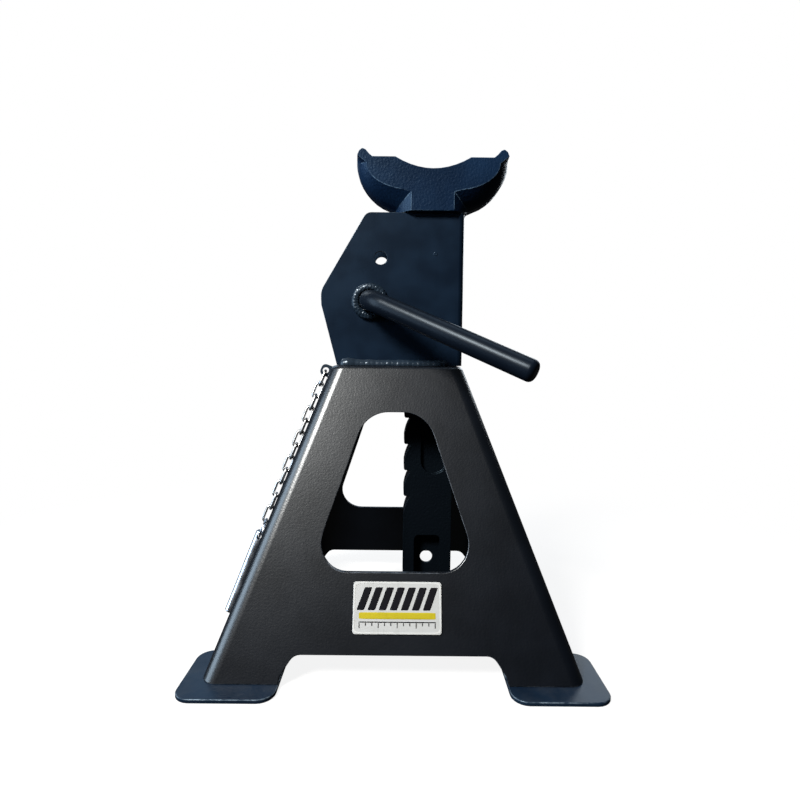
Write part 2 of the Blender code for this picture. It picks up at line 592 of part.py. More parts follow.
def make_handle(paint, weld, steel, hinge):
    """Bent bar with its collar, the pawl and what holds them."""
    x, z = PIVOT
    path = handle_path()
    rings = sweep(path, BAR_RADIUS, 20)
    soft = HANDLE_END_ROUND
    for index, point in ((0, path[0]), (-1, path[-1])):
        ring = rings[index]
        inward = (path[1] - path[0]).normalized() if index == 0 else (path[-2] - path[-1]).normalized()
        small = [point + (p - point) * (1.0 - soft / BAR_RADIUS) for p in ring]
        large = [p + inward * soft for p in ring]
        if index == 0:
            rings = [small, large] + rings[1:]
        else:
            rings = rings[:-1] + [large, small]
    handle = place("handle", loft("handle", rings), paint, hinge)
    for name, y, radius in (("pawl_pin_bore", 0.0, ROLL_PIN_RADIUS + GAP),
                            ("cotter_bore", COTTER_Y, COTTER_RADIUS + GAP)):
        tool = cylinder(name, (x - 0.03, y, z), (x + 0.03, y, z), radius, 14)
        cut(handle, cutter(name, tool))

    near, far = HOUSING_HALF_Y + GAP, HOUSING_HALF_Y + GAP + COLLAR_LENGTH
    bore = BAR_RADIUS + GAP
    bead = [(near, bore), (near, COLLAR_RADIUS), (near + 1.8 * MM, COLLAR_RADIUS),
            (near + 3.6 * MM, COLLAR_RADIUS - 1.9 * MM), (far, COLLAR_RADIUS - 4.4 * MM), (far, bore)]
    place("handle_collar", turned("handle_collar", (x, 0.0, z), (0.0, -1.0, 0.0), bead), weld, hinge)
    far = near + WASHER_THICKNESS
    washer = [(near, bore), (near, WASHER_RADIUS), (far, WASHER_RADIUS), (far, bore)]
    place("shaft_washer", turned("shaft_washer", (x, 0.0, z), (0.0, 1.0, 0.0), washer), steel, hinge)
    cotter = cylinder("shaft_cotter", (x - WASHER_RADIUS, COTTER_Y, z), (x + WASHER_RADIUS, COTTER_Y, z),
                      COTTER_RADIUS, 12, 0.4 * MM)
    place("shaft_cotter", cotter, steel, hinge)

    hub = [(x + a, z + b) for a, b in arc((0.0, 0.0), PAWL_HUB_RADIUS, 128.0, 372.0, 18)]
    blade = [(a * MM, b * MM) for a, b in PAWL_BLADE]
    pawl = place("pawl", prism("pawl", hub + blade, -PAWL_HALF_WIDTH, PAWL_HALF_WIDTH, "Y"), steel, hinge)
    cut(pawl, cutter("pawl_bore", cylinder("pawl_bore", (x, -0.05, z), (x, 0.05, z), PAWL_BORE_RADIUS, 24)))
    cut(pawl, cutter("pawl_cross", cylinder("pawl_cross", (x - 0.03, 0.0, z), (x + 0.03, 0.0, z),
                                            ROLL_PIN_RADIUS + GAP, 14)))
    place("pawl_roll_pin", cylinder("pawl_roll_pin", (x - 11.5 * MM, 0.0, z), (x + 11.5 * MM, 0.0, z),
                                    ROLL_PIN_RADIUS, 14, 0.5 * MM), steel, hinge)


# ---------------------------------------------------------------- chain

def chain_frame():
    """Start point and directions of the chain: along, across the panel, off the panel."""
    lean = math.atan(BASE_SLOPE)
    off = Vector((-math.cos(lean), 0.0, math.sin(lean)))
    down = Vector((-math.sin(lean), 0.0, -math.cos(lean)))
    along = (down + Vector((0.0, -CHAIN_LEAN, 0.0))).normalized()
    across = off.cross(along).normalized()
    start = Vector((-(BASE_HALF_X - BASE_SLOPE * CHAIN_Z), CHAIN_Y, CHAIN_Z)) + off * CHAIN_OFF
    return start, along, across, off


def stadium(centre, along, across, inner_length, inner_width, wire, sides=8, steps=5):
    """Rings of a chain link: a wire bent round two half circles."""
    bend = inner_width / 2.0 + wire
    straight = inner_length / 2.0 + wire - bend
    normal = along.cross(across)
    rings = []
    for end in (1.0, -1.0):
        for i in range(steps + 1):
            turn = math.pi * i / steps
            out = (across * math.cos(turn) + along * math.sin(turn)) * end
            middle = centre + along * (straight * end) + out * bend
            turns = [2.0 * math.pi * k / sides for k in range(sides)]
            rings.append([middle + (out * math.cos(t) + normal * math.sin(t)) * wire for t in turns])
    return rings


def first_link():
    """Middle of the link that hangs in the tab's hole."""
    start, along, _, _ = chain_frame()
    return start + along * (TAB_BORE - 4.0 * GAP + LINK_INNER_LENGTH / 2.0)


def last_link():
    """Middle of the link that holds the ring."""
    return first_link() + chain_frame()[1] * (LINK_PITCH * (LINK_COUNT - 1))


def make_chain(steel, chain_hinge, pin_hinge):
    """Tab, links, ring and lock pin."""
    start, along, across, off = chain_frame()
    foot = -CHAIN_OFF + GAP
    outline = [(-TAB_HALF_WIDTH, foot, 0.0), (TAB_HALF_WIDTH, foot, 0.0),
               (TAB_HALF_WIDTH, foot + TAB_HEIGHT, TAB_ROUND),
               (-TAB_HALF_WIDTH, foot + TAB_HEIGHT, TAB_ROUND)]
    rings = []
    for level in (-TAB_HALF_THICKNESS, TAB_HALF_THICKNESS):
        rings.append([start + along * a + off * b + across * level for a, b in rounded_polygon(outline, 5)])
    tab = place("chain_tab", loft("chain_tab", rings), steel)
    bore = cylinder("tab_bore", start - across * 0.02, start + across * 0.02, TAB_BORE, 20)
    cut(tab, cutter("tab_bore", bore))

    for i in range(LINK_COUNT):
        side = across if i % 2 == 0 else off
        centre = first_link() + along * (LINK_PITCH * i)
        name = "chain_link_%02d" % (i + 1)
        rings = stadium(centre, along, side, LINK_INNER_LENGTH, LINK_INNER_WIDTH, LINK_WIRE)
        place(name, torus(name, rings), steel, chain_hinge)

    ring_centre = last_link() + along * (RING_REACH + RING_RADIUS)
    rings = []
    for i in range(24):
        turn = 2.0 * math.pi * i / 24
        out = along * math.cos(turn) + across * math.sin(turn)
        turns = [2.0 * math.pi * k / 8 for k in range(8)]
        rings.append([ring_centre + out * RING_RADIUS + (out * math.cos(t) + off * math.sin(t)) * RING_WIRE
                      for t in turns])
    place("pin_ring", torus("pin_ring", rings), steel, pin_hinge)
    eye = ring_centre + along * (RING_RADIUS - 0.58 * MM)
    top = eye - along * 4.6 * MM
    pin = place("lock_pin", cylinder("lock_pin", top, top + along * PIN_LENGTH, PIN_RADIUS, 20, 1.2 * MM),
                steel, pin_hinge)
    cut(pin, cutter("pin_eye", cylinder("pin_eye", eye - across * 0.02, eye + across * 0.02, 2.1 * MM, 16)))


def main():
    """Build every piece."""
    clear_scene()
    paint = finish("black_powder_coat", (0.012, 0.014, 0.019), 0.38)
    cast = finish("black_cast_iron", (0.011, 0.013, 0.018), 0.55)
    weld = finish("painted_weld", (0.014, 0.016, 0.021), 0.45)
    steel = finish("zinc_steel", (0.42, 0.43, 0.45), 0.34, 1.0)
    plate = finish("label_foil", (0.72, 0.72, 0.70), 0.35)

    make_base(paint)
    make_feet(paint, weld)
    make_seams(weld)
    make_label(plate)
    make_housing(paint, weld, steel)
    make_post(cast, empty("post_slide", (POST_X, 0.0, HOUSING_TOP)))
    make_handle(paint, weld, steel, empty("handle_swing", (PIVOT[0], 0.0, PIVOT[1])))

    chain_start, ring_top = chain_frame()[0], last_link() + chain_frame()[1] * RING_REACH
    make_chain(steel, empty("chain_swing", chain_start), empty("pin_swing", ring_top))


main()
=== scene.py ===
"""Looks of a ratchet axle jack stand.

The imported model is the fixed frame. Each sub-assembly is a class that builds its finer
surfaces in place of the plain solids and dresses them. Sheet parts and castings are merged
copies with rounded edges; bars, beads, links and prints are surfaces worked out on grids.
All lengths are metres, +Z is up and the handle side is +X.
"""
from __future__ import annotations

import logging
import math
from dataclasses import dataclass, field
from enum import Enum

import bmesh
import bpy
import numpy as np
from mathutils import Matrix, Vector


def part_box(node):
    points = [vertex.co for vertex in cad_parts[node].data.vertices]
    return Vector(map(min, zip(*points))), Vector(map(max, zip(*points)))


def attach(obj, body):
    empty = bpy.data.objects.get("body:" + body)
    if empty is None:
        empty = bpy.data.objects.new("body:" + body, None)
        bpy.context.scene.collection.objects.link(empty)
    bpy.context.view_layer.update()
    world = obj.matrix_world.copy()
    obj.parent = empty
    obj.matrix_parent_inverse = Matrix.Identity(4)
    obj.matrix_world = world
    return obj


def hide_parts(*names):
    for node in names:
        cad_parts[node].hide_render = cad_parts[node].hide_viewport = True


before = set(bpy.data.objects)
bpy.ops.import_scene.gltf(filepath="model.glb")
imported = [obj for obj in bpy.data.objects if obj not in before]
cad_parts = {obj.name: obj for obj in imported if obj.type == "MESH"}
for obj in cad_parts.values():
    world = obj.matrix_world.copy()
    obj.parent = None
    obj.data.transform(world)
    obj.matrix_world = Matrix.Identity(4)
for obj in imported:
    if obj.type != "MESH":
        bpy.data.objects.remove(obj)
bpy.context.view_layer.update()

LOG = logging.getLogger("jack_stand")
MM = 0.001
LEAN = math.atan(0.3728)            # lean of every base panel from upright
DUST_COLOUR = (0.30, 0.29, 0.27)
# Painted shade: a near-black that darkens the casting below a set height, on the lower post
PAINTED_SHADE_COLOUR = (0.0010, 0.0016, 0.0026)
PAINTED_SHADE_FADE = 6.0 * MM                 # height over which the painted shade fades out


class Body(Enum):
    """Moving bodies of the stand."""

    STAND = "stand"
    POST = "post"
    LEVER = "handle_lever"
    CHAIN = "chain"
    PIN = "pin"


class Slot(Enum):
    """Material slots of the record."""

    POWDER = "black_powder_coat"
    CAST = "black_cast_iron"
    WELD = "painted_weld"
    ZINC = "zinc_steel"
    FOIL = "label_foil"


# ------------------------------------------------------------------ shader groups

class NodeTools:
    """Short ways to add and join shader nodes in one tree."""

    def __init__(self, tree: bpy.types.NodeTree) -> None:
        """Keep the tree that the nodes go into."""
        self.tree = tree

    def add(self, kind: str, **settings: object) -> bpy.types.Node:
        """Add a node and set its properties.

        Args:
            kind: The node's type name, such as ShaderNodeTexNoise.
            **settings: Properties of the node, by name.

        Returns:
            The new node.
        """
        node = self.tree.nodes.new(kind)
        for key, value in settings.items():
            setattr(node, key, value)
        return node

    def join(self, source: bpy.types.NodeSocket, target: bpy.types.NodeSocket) -> None:
        """Link one output to one input."""
        self.tree.links.new(source, target)

    def math(self, operation: str, first: object, second: object = 0.0) -> bpy.types.NodeSocket:
        """Calculate with two sockets or numbers.

        Args:
            operation: The Math node's operation.
            first: A socket or a number.
            second: A socket or a number.

        Returns:
            The result's socket.
        """
        node = self.add("ShaderNodeMath", operation=operation)
        for index, value in enumerate((first, second)):
            if isinstance(value, bpy.types.NodeSocket):
                self.join(value, node.inputs[index])
            else:
                node.inputs[index].default_value = value
        return node.outputs[0]

    def spread(self, value: bpy.types.NodeSocket, low: float, high: float,
               to_low: float = 0.0, to_high: float = 1.0) -> bpy.types.NodeSocket:
        """Map a range to another, smoothly and without going past its ends."""
        node = self.add("ShaderNodeMapRange", interpolation_type="SMOOTHSTEP")
        self.join(value, node.inputs["Value"])
        limits = {"From Min": low, "From Max": high, "To Min": to_low, "To Max": to_high}
        for name, number in limits.items():
            node.inputs[name].default_value = number
        return node.outputs["Result"]

    def mix(self, share: bpy.types.NodeSocket, first: object, second: object) -> bpy.types.NodeSocket:
        """Mix two colours, each a socket or an RGB tuple, by a share."""
        node = self.add("ShaderNodeMix", data_type="RGBA")
        self.join(share, node.inputs["Factor"])
        for name, value in (("A", first), ("B", second)):
            socket = next(s for s in node.inputs if s.name == name and s.type == "RGBA")
            if isinstance(value, bpy.types.NodeSocket):
                self.join(value, socket)
            else:
                socket.default_value = (*value, 1.0)
        return next(s for s in node.outputs if s.type == "RGBA")

    def noise(self, vector: bpy.types.NodeSocket, detail: float = 2.0, roughness: float = 0.5,
              scale: float = 1.0) -> bpy.types.NodeSocket:
        """Noise of 0 to 1 on a vector."""
        node = self.add("ShaderNodeTexNoise")
        node.inputs["Detail"].default_value = detail
        node.inputs["Roughness"].default_value = roughness
        node.inputs["Scale"].default_value = scale
        self.join(vector, node.inputs["Vector"])
        return node.outputs["Fac"]

    def stretch(self, vector: bpy.types.NodeSocket,
                factors: tuple[float, float, float]) -> bpy.types.NodeSocket:
        """Multiply a vector by a number on each axis."""
        node = self.add("ShaderNodeVectorMath", operation="MULTIPLY")
        self.join(vector, node.inputs[0])
        node.inputs[1].default_value = factors
        return node.outputs["Vector"]


@dataclass
class EffectGroups:
    """Shader node groups that several finishes share."""

    groups: dict[str, bpy.types.NodeTree] = field(default_factory=dict)

    def _new(self, name: str, inputs: dict[str, float], outputs: tuple[str, ...]
             ) -> tuple[NodeTools, bpy.types.Node, bpy.types.Node]:
        """Open a group with float sockets.

        Args:
            name: The group's name.
            inputs: Input names and their usual values.
            outputs: Output names.

        Returns:
            Tools for the group's tree, its input node and its output node.
        """
        tree = bpy.data.node_groups.new(name, "ShaderNodeTree")
        for label, value in inputs.items():
            socket = tree.interface.new_socket(label, in_out="INPUT", socket_type="NodeSocketFloat")
            socket.default_value = value
        for label in outputs:
            tree.interface.new_socket(label, in_out="OUTPUT", socket_type="NodeSocketFloat")
        tools = NodeTools(tree)
        self.groups[name] = tree
        return tools, tools.add("NodeGroupInput"), tools.add("NodeGroupOutput")

    def build(self) -> None:
        """Build every group once."""
        self._grain()
        self._streaks()
        self._rim_wear()
        self._dust()

    def _grain(self) -> None:
        """Orange peel or sand grain: fine noise at Size metres, and a slow tone ten times larger."""
        tools, given, out = self._new("fine_grain", {"Size": 0.001}, ("Height", "Tone"))
        place = tools.add("ShaderNodeTexCoord").outputs["Object"]
        scale = tools.math("DIVIDE", 1.0, given.outputs["Size"])
        fine = tools.add("ShaderNodeTexNoise")
        tools.join(place, fine.inputs["Vector"])
        tools.join(scale, fine.inputs["Scale"])
        fine.inputs["Detail"].default_value = 3.0
        slow = tools.add("ShaderNodeTexNoise")
        tools.join(place, slow.inputs["Vector"])
        tools.join(tools.math("MULTIPLY", scale, 0.05), slow.inputs["Scale"])
        slow.inputs["Detail"].default_value = 2.0
        tools.join(fine.outputs["Fac"], out.inputs["Height"])
        tools.join(slow.outputs["Fac"], out.inputs["Tone"])

    def _streaks(self) -> None:
        """Faint upright rubbing marks: noise drawn out along Z."""
        tools, _, out = self._new("upright_streaks", {}, ("Mask",))
        place = tools.add("ShaderNodeTexCoord").outputs["Object"]
        lines = tools.noise(tools.stretch(place, (1100.0, 300.0, 42.0)), 2.0)
        tools.join(tools.spread(lines, 0.32, 0.68), out.inputs["Mask"])

    def _rim_wear(self) -> None:
        """Rubbed edges: the rim attribute broken up by noise and scaled by Amount."""
        tools, given, out = self._new("rim_wear", {"Amount": 0.5}, ("Mask",))
        rim = tools.add("ShaderNodeAttribute", attribute_name="rim").outputs["Fac"]
        place = tools.add("ShaderNodeTexCoord").outputs["Object"]
        broken = tools.spread(tools.noise(place, 4.0, 0.65, 130.0), 0.38, 0.66)
        tools.join(tools.math("MULTIPLY", tools.math("MULTIPLY", rim, broken), given.outputs["Amount"]),
                   out.inputs["Mask"])

    def _dust(self) -> None:
        """Dust that settles on faces that look up, in drifts, scaled by Amount."""
        tools, given, out = self._new("settled_dust", {"Amount": 0.3}, ("Mask",))
        split = tools.add("ShaderNodeSeparateXYZ")
        tools.join(tools.add("ShaderNodeNewGeometry").outputs["Normal"], split.inputs[0])
        upward = tools.spread(split.outputs["Z"], 0.45, 1.0)
        place = tools.add("ShaderNodeTexCoord").outputs["Object"]
        drifts = tools.spread(tools.noise(place, 5.0, 0.7, 60.0), 0.35, 0.75)
        tools.join(tools.math("MULTIPLY", tools.math("MULTIPLY", upward, drifts), given.outputs["Amount"]),
                   out.inputs["Mask"])

    def use(self, tools: NodeTools, name: str, **values: float) -> bpy.types.Node:
        """Place a group in a material with its own values.

        Args:
            tools: Tools of the material's tree.
            name: The group's name.
            **values: Input values, by socket name.

        Returns:
            The group node.
        """
        node = tools.add("ShaderNodeGroup", node_tree=self.groups[name])
        for label, value in values.items():
            node.inputs[label].default_value = value
        return node


# ------------------------------------------------------------------ finishes

@dataclass(frozen=True)
class Paint:
    """Black paint or powder coat over iron, with painted shade darkening it below a set height."""

    name: str
    slot: Slot
    colour: tuple[float, float, float]
    deep_colour: tuple[float, float, float]
    rubbed_colour: tuple[float, float, float]
    roughness: float
    roughness_swing: float
    grain_size: float
    grain_depth: float
    wear: float
    dust: float
    streak: float = 0.0
    specular: float = 0.5
    # height below which painted shade darkens the colour; -1 leaves it off
    painted_shade_line: float = -1.0
    gloss_tint: tuple[float, float, float] = (1.0, 1.0, 1.0)

    def material(self, groups: EffectGroups) -> bpy.types.Material:
        """Build the node material.

        Args:
            groups: The shared effect groups.

        Returns:
            The finished material.
        """
        material, tools, shader = open_material(self.name)
        grain = groups.use(tools, "fine_grain", Size=self.grain_size)
        wear = groups.use(tools, "rim_wear", Amount=self.wear)
        dust = groups.use(tools, "settled_dust", Amount=self.dust)
        streaks = groups.use(tools, "upright_streaks")
        tone = tools.spread(grain.outputs["Tone"], 0.3, 0.7)
        colour = tools.mix(tone, self.deep_colour, self.colour)
        colour = tools.mix(wear.outputs["Mask"], colour, self.rubbed_colour)
        colour = tools.mix(dust.outputs["Mask"], colour, DUST_COLOUR)
        # Painted shade: below the line the colour fades to a near-black
        height = tools.add("ShaderNodeSeparateXYZ")
        tools.join(tools.add("ShaderNodeTexCoord").outputs["Object"], height.inputs[0])
        unshaded = tools.spread(height.outputs["Z"], self.painted_shade_line, self.painted_shade_line + PAINTED_SHADE_FADE)
        colour = tools.mix(unshaded, PAINTED_SHADE_COLOUR, colour)
        tools.join(colour, shader.inputs["Base Color"])
        swing = tools.math("SUBTRACT", grain.outputs["Tone"], 0.5)
        rough = tools.math("ADD", tools.math("MULTIPLY", swing, self.roughness_swing), self.roughness)
        rub = tools.math("MULTIPLY", tools.math("SUBTRACT", streaks.outputs["Mask"], 0.5), self.streak)
        rough = tools.math("ADD", rough, rub)
        rough = tools.math("ADD", rough, tools.math("MULTIPLY", dust.outputs["Mask"], 0.3))
        rough = tools.math("SUBTRACT", rough, tools.math("MULTIPLY", wear.outputs["Mask"], 0.12))
        tools.join(rough, shader.inputs["Roughness"])
        emboss(tools, shader, grain.outputs["Height"], self.grain_depth)
        shader.inputs["Specular IOR Level"].default_value = self.specular
        shader.inputs["Specular Tint"].default_value = (*self.gloss_tint, 1.0)
        return material


@dataclass(frozen=True)
class Plating:
    """Zinc on steel, with a faint blue cast and dull patches."""

    name: str
    slot: Slot
    colour: tuple[float, float, float]
    dull_colour: tuple[float, float, float]
    roughness: float

    def material(self, groups: EffectGroups) -> bpy.types.Material:
        """Build the node material from the shared effect groups."""
        material, tools, shader = open_material(self.name)
        grain = groups.use(tools, "fine_grain", Size=0.0009)
        wear = groups.use(tools, "rim_wear", Amount=0.6)
        patches = tools.spread(grain.outputs["Tone"], 0.36, 0.64)
        colour = tools.mix(patches, self.dull_colour, self.colour)
        colour = tools.mix(wear.outputs["Mask"], colour, (0.72, 0.72, 0.72))
        tools.join(colour, shader.inputs["Base Color"])
        rough = tools.math("ADD", tools.math("MULTIPLY", patches, -0.16), self.roughness + 0.08)
        tools.join(rough, shader.inputs["Roughness"])
        shader.inputs["Metallic"].default_value = 1.0
        emboss(tools, shader, grain.outputs["Height"], 0.04 * MM)
        return material


@dataclass(frozen=True)
class Foil:
    """Printed foil or ink: one tone with fine print grain and light scuffs."""

    name: str
    slot: Slot
    colour: tuple[float, float, float]
    scuffed_colour: tuple[float, float, float]
    roughness: float
    specular: float = 0.5

    def material(self, groups: EffectGroups) -> bpy.types.Material:
        """Build the node material from the shared effect groups."""
        material, tools, shader = open_material(self.name)
        grain = groups.use(tools, "fine_grain", Size=0.0005)
        streaks = groups.use(tools, "upright_streaks")
        patches = tools.spread(grain.outputs["Tone"], 0.4, 0.7)
        scuffs = tools.math("MULTIPLY", streaks.outputs["Mask"], patches)
        shader.inputs["Specular IOR Level"].default_value = self.specular
        tools.join(tools.mix(scuffs, self.colour, self.scuffed_colour), shader.inputs["Base Color"])
        tools.join(tools.math("ADD", tools.math("MULTIPLY", scuffs, 0.2), self.roughness),
                   shader.inputs["Roughness"])
        emboss(tools, shader, grain.outputs["Height"], 0.01 * MM)
        return material


def open_material(name: str) -> tuple[bpy.types.Material, NodeTools, bpy.types.Node]:
    """Start a node material.

    Args:
        name: The material's name.

    Returns:
        The material, tools for its tree and its Principled shader.
    """
    material = bpy.data.materials.new(name)
    material.use_nodes = True
    return material, NodeTools(material.node_tree), material.node_tree.nodes["Principled BSDF"]


def emboss(tools: NodeTools, shader: bpy.types.Node, height: bpy.types.NodeSocket, depth: float) -> None:
    """Raise a finish by a height of 0 to 1, up to the given depth in metres."""
    bump = tools.add("ShaderNodeBump")
    bump.inputs["Distance"].default_value = depth
    tools.join(height, bump.inputs["Height"])
    tools.join(bump.outputs["Normal"], shader.inputs["Normal"])


PANEL_COAT = Paint("panel_powder_coat", Slot.POWDER, (0.0010, 0.0017, 0.0034), (0.0006, 0.0011, 0.0023),
                   (0.060, 0.068, 0.080), 0.32, 0.05, 0.0014, 0.00007, 0.75, 0.01, streak=0.012,
                   specular=0.50, gloss_tint=(0.95, 0.98, 1.0))
HOUSING_COAT = Paint("housing_powder_coat", Slot.POWDER, (0.0024, 0.0064, 0.0140), (0.0013, 0.0036, 0.0085),
                     (0.070, 0.090, 0.110), 0.30, 0.06, 0.0012, 0.00003, 0.7, 0.01, streak=0.010,
                     specular=0.32, gloss_tint=(0.60, 0.80, 1.0))
BAR_ENAMEL = Paint("bar_enamel", Slot.POWDER, (0.0018, 0.0032, 0.0060), (0.0011, 0.0021, 0.0042),
                   (0.050, 0.060, 0.074), 0.34, 0.04, 0.0022, 0.000012, 0.4, 0.01,
                   specular=0.10, gloss_tint=(0.75, 0.88, 1.0))
FOOT_COAT = Paint("foot_powder_coat", Slot.POWDER, (0.0035, 0.0085, 0.0175), (0.0024, 0.0058, 0.0125),
                  (0.085, 0.110, 0.135), 0.36, 0.06, 0.0012, 0.00003, 0.7, 0.02,
                  specular=0.20, gloss_tint=(0.60, 0.80, 1.0))
# The casting gets painted shade below 0.333 m, on the lower post.
CAST_COAT = Paint("dipped_cast_iron", Slot.CAST, (0.0022, 0.0088, 0.0250), (0.0010, 0.0045, 0.0140),
                  (0.060, 0.100, 0.150), 0.40, 0.14, 0.0019, 0.00030, 0.80, 0.01,
                  specular=0.15, painted_shade_line=0.333, gloss_tint=(0.50, 0.76, 1.0))
WELD_COAT = Paint("painted_weld_bead", Slot.WELD, (0.008, 0.013, 0.020), (0.004, 0.008, 0.013),
                  (0.06, 0.08, 0.10), 0.28, 0.08, 0.0018, 0.00005, 0.6, 0.01,
                  specular=0.26, gloss_tint=(0.75, 0.88, 1.0))
ZINC = Plating("blue_zinc", Slot.ZINC, (0.50, 0.54, 0.60), (0.34, 0.37, 0.42), 0.30)
LINK_STEEL = Plating("chain_zinc", Slot.ZINC, (0.42, 0.43, 0.44), (0.22, 0.22, 0.22), 0.32)
PAWL_STEEL = Plating("dark_forged_steel", Slot.ZINC, (0.20, 0.21, 0.23), (0.11, 0.11, 0.12), 0.42)
PLATE_FOIL = Foil("silver_plate_foil", Slot.FOIL, (0.255, 0.26, 0.26), (0.225, 0.23, 0.225), 0.55)
WHITE_INK = Foil("white_border_ink", Slot.FOIL, (0.31, 0.315, 0.31), (0.27, 0.275, 0.27), 0.60)
DARK_INK = Foil("dark_ink", Slot.FOIL, (0.002, 0.002, 0.003), (0.004, 0.004, 0.006), 0.80, 0.08)
YELLOW_INK = Foil("yellow_ink", Slot.FOIL, (0.25, 0.205, 0.002), (0.22, 0.18, 0.004), 0.65, 0.20)


# ------------------------------------------------------------------ workshop

@dataclass
class Workshop:
    """Makes pieces, puts their finish on and hangs them on their bodies."""

    groups: EffectGroups = field(default_factory=EffectGroups)
    materials: dict[str, bpy.types.Material] = field(default_factory=dict)
    count: int = 0

    def dress(self, piece: bpy.types.Object, finish: Paint | Plating | Foil) -> None:
        """Give a piece one finish.

        Args:
            piece: The object to dress.
            finish: The finish to put on.
        """
        if finish.name not in self.materials:
            self.materials[finish.name] = finish.material(self.groups)
        piece.data.materials.clear()
        piece.data.materials.append(self.materials[finish.name])

    def hang(self, piece: bpy.types.Object, body: Body, finish: Paint | Plating | Foil,
             replaced: tuple[str, ...] = ()) -> bpy.types.Object:
        """Dress a piece, let it ride and hide the plain solids it stands for.

        Args:
            piece: The finished object.
            body: The body that carries it.
            finish: Its finish.
            replaced: Names of the nodes that it replaces.

        Returns:
            The same object.
        """
        self.dress(piece, finish)
        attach(piece, body.value)
        if replaced:
            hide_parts(*replaced)
        self.count += 1
        LOG.info("%s: %d faces on %s", piece.name, len(piece.data.polygons), body.value)
        return piece

    def surface(self, name: str, points: np.ndarray, around: bool = True, along: bool = False,
                smooth: float = 60.0) -> bpy.types.Object:
        """Make a mesh from a grid of points: rows along a path, columns round a section.

        Open ends of a round grid are closed with a fan to each end ring's middle.

        Args:
            name: The piece's name.
            points: Array of shape (rows, columns, 3).
            around: Whether the last column joins the first.
            along: Whether the last row joins the first.
            smooth: Edges sharper than this many degrees stay sharp.

        Returns:
            The new object.
        """
        rows, columns = points.shape[:2]
        row = np.arange(rows if along else rows - 1)
        column = np.arange(columns if around else columns - 1)
        r, c = (a.ravel() for a in np.meshgrid(row, column, indexing="ij"))
        r2, c2 = (r + 1) % rows, (c + 1) % columns
        quads = np.stack([r * columns + c, r * columns + c2, r2 * columns + c2, r2 * columns + c], 1)
        vertices = points.reshape(-1, 3)
        triangles = np.zeros((0, 3), int)
        if around and not along:
            middles = np.stack([points[0].mean(0), points[-1].mean(0)])
            first = np.arange(columns)
            second = (first + 1) % columns
            base = (rows - 1) * columns
            start, end = len(vertices), len(vertices) + 1
            triangles = np.concatenate([
                np.stack([second, first, np.full(columns, start)], 1),
                np.stack([base + first, base + second, np.full(columns, end)], 1)])
            vertices = np.concatenate([vertices, middles])
        if signed_volume(vertices, quads, triangles) < 0.0:
            quads, triangles = quads[:, ::-1], triangles[:, ::-1]
        mesh = bpy.data.meshes.new(name)
        mesh.from_pydata(vertices.tolist(), [], quads.tolist() + triangles.tolist())
        mesh.shade_smooth()
        mesh.set_sharp_from_angle(angle=math.radians(smooth))
        mesh.update()
        piece = bpy.data.objects.new(name, mesh)
        bpy.context.scene.collection.objects.link(piece)
        return piece

    def rounded_copy(self, node: str, name: str, width: float, segments: int = 3,
                     from_angle: float = 26.0, clamp: bool = True) -> bpy.types.Object:
        """Copy a node's solid, merged, with its edges rounded and marked in the rim attribute.

        The rounding stays inside the solid, so the piece keeps its size.

        Args:
            node: The node to copy.
            name: The new piece's name.
            width: How far the rounding reaches from each edge.
            segments: Faces across the rounding.
            from_angle: Edges bent more than this many degrees are rounded.
            clamp: Whether narrow places limit the width.

        Returns:
            The new object.
        """
        bm = bmesh.new()
        bm.from_mesh(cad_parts[node].data)
        bmesh.ops.remove_doubles(bm, verts=bm.verts, dist=0.01 * MM)
        bmesh.ops.dissolve_limit(bm, angle_limit=math.radians(1.0), verts=bm.verts, edges=bm.edges,
                                 use_dissolve_boundaries=False)
        limit = math.radians(from_angle)
        edges = [e for e in bm.edges if len(e.link_faces) == 2 and e.calc_face_angle(0.0) > limit]
        made = bmesh.ops.bevel(bm, geom=edges, offset=width, offset_type="OFFSET", segments=segments,
                               profile=0.5, affect="EDGES", clamp_overlap=clamp, loop_slide=True)
        rounded = set(made["faces"])
        rim = [1.0 if all(f in rounded for f in v.link_faces) else 0.0 for v in bm.verts]
        mesh = bpy.data.meshes.new(name)
        bm.to_mesh(mesh)
        bm.free()
        mesh.attributes.new("rim", "FLOAT", "POINT").data.foreach_set("value", np.array(rim, np.float32))
        mesh.shade_smooth()
        mesh.set_sharp_from_angle(angle=math.radians(40.0))
        piece = bpy.data.objects.new(name, mesh)
        bpy.context.scene.collection.objects.link(piece)
        even = piece.modifiers.new("even_normals", "WEIGHTED_NORMAL")
        even.keep_sharp = True
        even.weight = 100
        return piece


def signed_volume(vertices: np.ndarray, quads: np.ndarray, triangles: np.ndarray) -> float:
    """Volume inside a closed mesh by summed tetrahedra, positive when its faces point out."""
    corners = np.concatenate([quads[:, [0, 1, 2]], quads[:, [0, 2, 3]], triangles])
    a, b, c = (vertices[corners[:, i]] for i in range(3))
    return float(np.einsum("ij,ij->i", a, np.cross(b, c)).sum() / 6.0)


def unit(vector: np.ndarray) -> np.ndarray:
    """A vector, or each row of an array of them, at length one."""
    return vector / np.linalg.norm(vector, axis=-1, keepdims=True)


